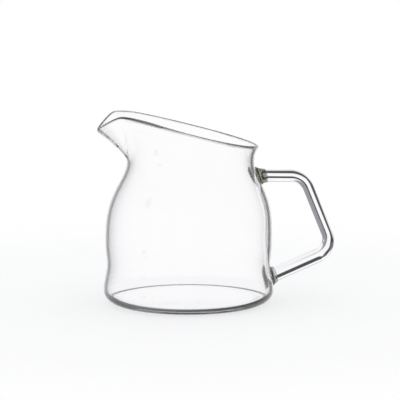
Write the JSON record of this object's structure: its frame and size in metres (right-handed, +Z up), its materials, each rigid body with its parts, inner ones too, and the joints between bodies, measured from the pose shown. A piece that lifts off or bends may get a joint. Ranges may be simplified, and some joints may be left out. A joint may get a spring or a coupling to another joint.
{
  "type": "glass creamer pitcher",
  "caption": "Small clear glass pitcher with a slanted rim, a pulled pouring spout and a bent solid rod handle, for serving cream or milk.",
  "frame": {"origin": "centre of the flat underside of the foot, on the surface that the pitcher stands on", "axes": "+Z up along the foot's axis, spout towards -X, handle towards +X, mirror plane XZ"},
  "size_m": [0.1021, 0.072, 0.081],
  "materials": {
    "body_glass": "clear, fire polished",
    "rod_glass": "clear, polished solid rod",
    "pad_glass": "clear with a faint olive tint, flame worked"
  },
  "bodies": {
    "root": {"glass_body": "body_glass", "handle_rod": "rod_glass", "upper_handle_pad": "pad_glass", "lower_handle_pad": "pad_glass"}
  },
  "joints": []
}
